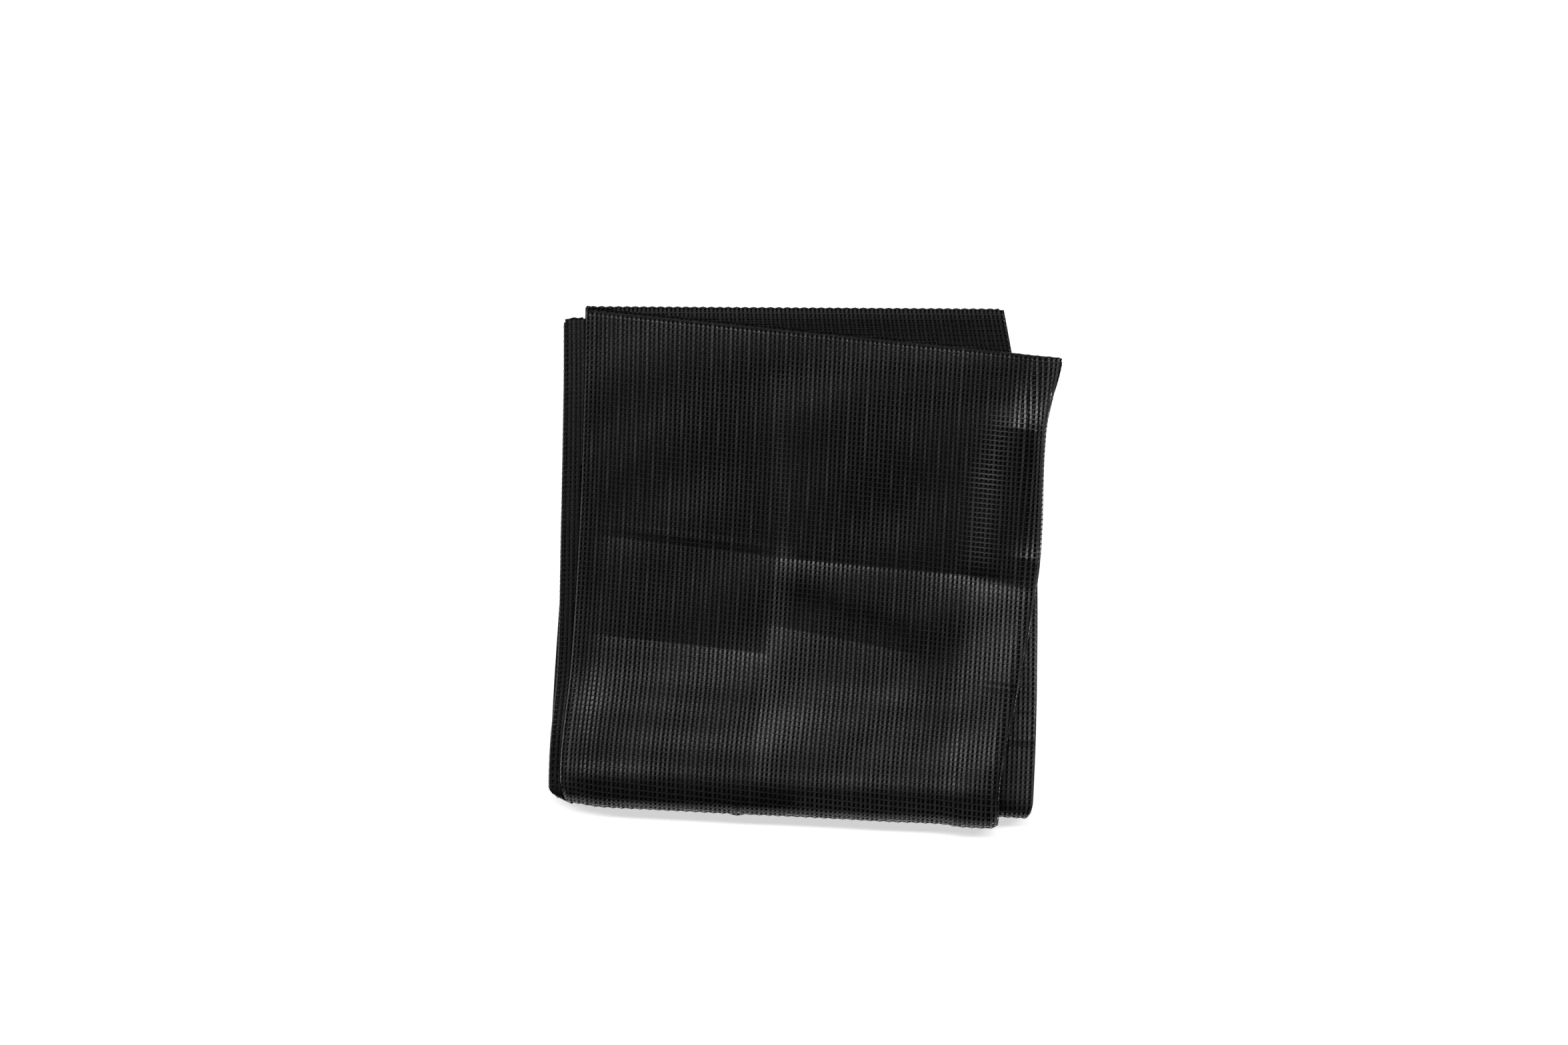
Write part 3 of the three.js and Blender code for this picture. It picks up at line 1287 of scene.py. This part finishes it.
@dataclass(frozen=True)
class YarnFinish:
    """Black polyester yarn: smooth, slightly glossy, uneven from stitch to stitch."""

    dark: tuple[float, float, float] = (0.0015, 0.0015, 0.0016)
    light: tuple[float, float, float] = (0.09, 0.09, 0.0925)
    roughness: float = 0.235
    uneven: float = 0.03
    specular: float = 0.26
    grain_scale: float = 900.0
    grain_least: float = 0.6
    grain_span: float = 0.8
    patch_scale: float = 60.0
    bump: float = 0.04
    bump_depth: float = 0.00008

    def make(self, name: str) -> bpy.types.Material:
        """Makes the material: tone and a fine noise choose the grey, and noises the roughness and the bump.

        Args:
            name: The material's name.

        Returns:
            The material.
        """
        graph = Graph(name)
        grain = graph.noise(self.grain_scale)
        # The tone holds the yarn's own unevenness and also painted highlights and shade
        grey = graph.tone() * (self.grain_least + grain * self.grain_span)
        bump = {"Strength": self.bump, "Distance": self.bump_depth, "Height": grain}
        graph.set(
            Base_Color=graph.mix(grey, self.dark, self.light),
            Roughness=self.roughness - self.uneven / 2 + graph.noise(self.patch_scale) * self.uneven,
            Specular_IOR_Level=self.specular,
            Normal=graph.node("ShaderNodeBump", {}, bump),
        )
        return graph.material


@dataclass(frozen=True)
class SheetFinish:
    """The net of the hidden layers, drawn on their sheet: strands, by their tone, and openings painted dark
    as shade.
    """

    strand: tuple[float, float, float] = (0.02, 0.02, 0.0205)
    # Painted shade in the openings, for the shaded layers under them
    opening_shade: tuple[float, float, float] = (0.002, 0.002, 0.002)
    column_half: float = 0.24
    thread_half: float = 0.12
    thread_share: float = 0.6
    edge_gain: float = 2.0
    opening_shine: float = 0.2
    roughness: float = 0.25
    specular: float = 0.045
    grain_scale: float = 500.0
    grain_least: float = 0.6
    grain_span: float = 0.8

    def near(self, place: Shade, half: float) -> Shade:
        """Returns 1 on the middle of a strand, falling to 0 at half its width, from a place in strands."""
        off = (place.math("FRACT") - 0.5).math("ABSOLUTE")
        return (1.0 - off * (1.0 / half)).math("MAXIMUM", 0.0)

    def make(self, name: str) -> bpy.types.Material:
        """Makes the material: distances to the nearest column and row, on the cloth's map, give the strands.

        Args:
            name: The material's name.

        Returns:
            The material.
        """
        graph = Graph(name)
        cloth = graph.node("ShaderNodeUVMap", {"uv_map": CLOTH_MAP}, {})
        on_column = self.near(graph.node("ShaderNodeSeparateXYZ", {}, {0: cloth}, "X"), self.column_half)
        on_row = self.near(graph.node("ShaderNodeSeparateXYZ", {}, {0: cloth}, "Y"), self.thread_half)
        strand = on_column.math("MAXIMUM", on_row * self.thread_share) * self.edge_gain
        strand = strand.math("MINIMUM", 1.0)
        grain = self.grain_least + graph.noise(self.grain_scale) * self.grain_span
        # The openings get a near-black colour as painted shade
        graph.set(
            Base_Color=graph.mix(graph.tone() * strand * grain, self.opening_shade, self.strand),
            Roughness=self.roughness,
            Specular_IOR_Level=self.specular,
        )
        # Painted shade: the openings are mostly a matt near-black colour
        graph.blend(self.opening_shine + strand * (1.0 - self.opening_shine), self.opening_shade)
        return graph.material


@dataclass
class InsectScreen:
    """The folded net: its outer pass, what shows of the two passes under it, and the hidden sheet.

    Attributes:
        pack: The fold.
        columns: The number of columns in each pass.
        top_lines: The lines that the top pass's columns run between.
        top_start: Where the strands of the top start along the cloth, past its end line.
        turned_to: Where the strands of the underside take over.
        far_end: A place past the far end of the cloth.
        second_end: Where the strands of the second layer end.
        third_end: Where the strands of the third layer end.
        first_column: The place of the top pass's first column.
        raised: How far the strands of the second and third layer lie over their sheet.
        overlap: How far the second layer's strands run in under the top panel.
        shade_gap_left: The gap beside the top panel's left fold, left without strands as painted shadow.
        shade_gap_behind: The gap behind its upper edge, left without strands as painted shadow.
        lowest: The height under which nothing of the second and third layer shows.
        short_roll: The roll of the upper end of the second and third layer.
        second_inset: The inset of the second layer, below 0 as its strands stand out over its edges.
        second_lift: The lift of its upper end.
        third_slack: The slack of the third layer at the turned edge.
        top_ear: The ear of the top pass.
        top_crowd: How its columns crowd at the left.
        top_bend: The least run of its bend into the left fold.
        top_overhang: How far it stands out past its right edge.
        top_nub: The tuft on its turned edge.
    """

    pack: FoldedPack = field(default_factory=FoldedPack)
    columns: tuple[int, ...] = (97, 104, 100, 103, 100)
    top_lines: tuple[FoldEdge, FoldEdge] = (
        FoldEdge(TOP_LEFT_X, 83.0, 89.4),
        FoldEdge((76.0, 78.0, 80.0, 83.0, 86.0, 88.7, 90.5), 78.0, 72.5),
    )
    top_start: float = -1.7
    turned_to: float = 193.0
    far_end: float = 400.0
    second_end: float = 186.0
    third_end: float = 182.0
    first_column: float = 0.9
    raised: float = 0.25
    overlap: float = 5.0
    shade_gap_left: float = 0.1
    shade_gap_behind: float = 0.8
    lowest: float = 2.0
    short_roll: tuple[float, float] = (0.5, 0.4)
    second_inset: float = -0.1
    second_lift: tuple[float, float] = (0.9, 16.0)
    third_slack: Slack = Slack(3.4, 0.38)
    top_ear: tuple[float, float] = (3.4, 1.6)
    top_crowd: tuple[float, float] = (1.6, 9.0)
    top_bend: float = 2.4
    top_overhang: float = 0.9
    top_nub: tuple[float, float, float] = (-24.3, 0.7, 1.2)

    def top_outline(self, point: Array) -> tuple[Array, Array, Array]:
        """Finds the outline of the top panel near points.

        Args:
            point: Points, in an array whose last axis is x, y and z.

        Returns:
            The x of its left and right edge and the y of its upper edge there.
        """
        left = self.top_lines[0]
        right = self.pack.edges[self.pack.lip_edge]
        x = point[..., 0]
        upper = between(left.end_y, right.end_y, (x - left.end_x) / (right.end_x - left.end_x))
        axis = self.pack.axis_at(x)
        along = np.clip((point[..., 1] - axis) / (upper - axis), 0.0, 1.0)
        return self.pack.edge_x(left, along), self.pack.edge_x(right, along), upper

    def beside_top(self, point: Array) -> Array:
        """Finds which points show behind the top panel, past a gap left dark as painted shadow, or on its
        right.

        On the right they run in a little under the panel.

        Args:
            point: Points, in an array whose last axis is x, y and z.

        Returns:
            Whether each point is in that part.
        """
        _, right, upper = self.top_outline(point)
        behind = point[..., 1] > upper + self.shade_gap_behind
        return ((point[..., 0] > right - self.overlap) | behind) & (point[..., 2] > self.lowest)

    def left_of_top(self, point: Array) -> Array:
        """Returns which points show on the left of the top panel, past a gap left dark as painted shadow."""
        left, _, _ = self.top_outline(point)
        return (point[..., 0] < left - self.shade_gap_left) & (point[..., 2] > self.lowest)

    def lay_out(self) -> list[NetLayer]:
        """Lays out the passes on the fold, with what the second and the third layer have of their own.

        Returns:
            The passes in their order on the cloth.
        """
        layers = [NetLayer(self.pack, index, count) for index, count in enumerate(self.columns)]
        layers[Pass.SECOND] = replace(layers[Pass.SECOND], inset=self.second_inset, end_roll=self.short_roll,
                                      end_lift=self.second_lift, own=SECOND_RELIEF)
        layers[Pass.THIRD] = replace(layers[Pass.THIRD], end_roll=self.short_roll, slack=self.third_slack)
        return layers

    def build_strands(self, layers: list[NetLayer]) -> list[bpy.types.Object]:
        """Knits the outer pass, on top and underneath, and what shows of the second and the third layer.

        Args:
            layers: The passes in their order on the cloth.

        Returns:
            The columns and threads.
        """
        top = replace(layers[Pass.TOP], grain=self.top_lines, ear=self.top_ear, crowd=self.top_crowd,
                      left_reach=self.top_bend, right_reach=self.top_overhang, nub=self.top_nub)
        knits = (
            NetStrands("top", top, (self.top_start, self.turned_to), first_column=self.first_column,
                       streaks=Streaks()),
            NetStrands("under", top, (self.turned_to, self.far_end), Detail.PLAIN,
                       first_column=self.first_column, seed=17),
            NetStrands("second", layers[Pass.SECOND], (0.0, self.second_end), raised=self.raised, seed=27,
                       shown=self.beside_top),
            NetStrands("third", layers[Pass.THIRD], (0.0, self.third_end), raised=self.raised, seed=37,
                       shown=self.left_of_top),
        )
        return [piece for knit in knits for piece in knit.build()]

    def dress(self, inner: bpy.types.Object, strands: list[bpy.types.Object]) -> None:
        """Gives the columns, the threads and the sheet their finishes.

        Args:
            inner: The sheet.
            strands: The columns and threads.
        """
        yarn = YarnFinish().make("net_yarn")
        thread = YarnFinish(specular=0.1).make("net_thread")
        for piece in strands:
            piece.data.materials.append(thread if piece.name.endswith("threads") else yarn)
        inner.data.materials.append(SheetFinish().make("net_inside"))

    def build(self) -> list[bpy.types.Object]:
        """Makes all pieces, dresses them and joins them to the frame.

        Returns:
            The pieces.
        """
        layers = self.lay_out()
        strands = self.build_strands(layers)
        runs = (layers[:Pass.TOP], layers[Pass.TOP:Pass.SECOND], layers[Pass.SECOND:])
        sheet = InnerSheet(self.pack, tuple(tuple(run) for run in runs))
        inner = sheet.build()
        self.dress(inner, strands)
        for piece in (inner, *strands):
            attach(piece, "root")
            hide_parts("folded_net")
        return [inner, *strands]


@dataclass
class Studio:
    """A white floor under soft light, with the camera straight above the pack.

    The camera's view is in millimetres: its width on a plane over the floor, and the place of its middle.
    The floor and the key light are in metres and watts.
    """

    view_width: float = 549.4
    view_middle: tuple[float, float] = (-7.7, 14.95)
    view_plane: float = 14.0
    lens: float = 120.0
    sensor: float = 36.0
    surroundings: float = 0.08
    floor_half: float = 3.0
    floor_grey: float = 0.8
    floor_roughness: float = 0.9
    floor_glow: float = 0.6
    key_place: tuple[float, float, float] = (0.0, 0.5, 1.62)
    key_size: tuple[float, float] = (3.0, 0.2)
    key_power: float = 40.0
    white: tuple[float, float, float, float] = (1.0, 1.0, 1.0, 1.0)

    def build_floor(self) -> None:
        """Makes the floor, which glows a little so that it stays white."""
        half = self.floor_half
        mesh = bpy.data.meshes.new("floor")
        mesh.from_pydata([(-half, -half, 0), (half, -half, 0), (half, half, 0), (-half, half, 0)], [],
                         [(0, 1, 2, 3)])
        floor = bpy.data.objects.new("floor", mesh)
        bpy.context.scene.collection.objects.link(floor)
        finish = Graph("floor_white")
        finish.set(Base_Color=(self.floor_grey, self.floor_grey, self.floor_grey, 1.0),
                   Roughness=self.floor_roughness, Emission_Color=self.white,
                   Emission_Strength=self.floor_glow)
        mesh.materials.append(finish.material)

    def build_light(self) -> None:
        """Makes the surroundings and the key light, a long strip behind the pack that faces the origin."""
        world = bpy.data.worlds.new("studio")
        world.use_nodes = True
        background = world.node_tree.nodes["Background"]
        background.inputs["Color"].default_value = self.white
        background.inputs["Strength"].default_value = self.surroundings
        bpy.context.scene.world = world

        light = bpy.data.lights.new("key", "AREA")
        light.shape = "RECTANGLE"
        light.size, light.size_y = self.key_size
        light.energy = self.key_power
        lamp = bpy.data.objects.new("key", light)
        lamp.location = self.key_place
        right, far, up = self.key_place
        tilt = math.atan2(math.hypot(right, far), up)
        lamp.rotation_euler = (tilt, 0.0, math.atan2(-far, -right) - QUARTER)
        bpy.context.scene.collection.objects.link(lamp)

    def build_camera(self) -> None:
        """Makes the camera: its height over the plane is lens times view_width over sensor."""
        scene = bpy.context.scene
        camera = bpy.data.cameras.new("camera")
        camera.lens = self.lens
        camera.sensor_width = self.sensor
        stand = bpy.data.objects.new("camera", camera)
        height = self.view_plane + self.view_width / self.sensor * self.lens
        stand.location = (self.view_middle[0] * MM, self.view_middle[1] * MM, height * MM)
        scene.collection.objects.link(stand)
        scene.camera = stand
        scene.view_settings.view_transform = "Standard"
        scene.cycles.use_denoising = False

    def build(self) -> None:
        """Makes the floor, the lights and the camera."""
        self.build_floor()
        self.build_light()
        self.build_camera()


def main() -> None:
    """Builds the net and the studio."""
    logging.basicConfig(level=logging.INFO, format="%(message)s")
    pieces = InsectScreen().build()
    Studio().build()
    for piece in pieces:
        piece.data.calc_loop_triangles()
        LOG.info("%s: %d triangles", piece.name, len(piece.data.loop_triangles))


if __name__ == "__main__":
    main()
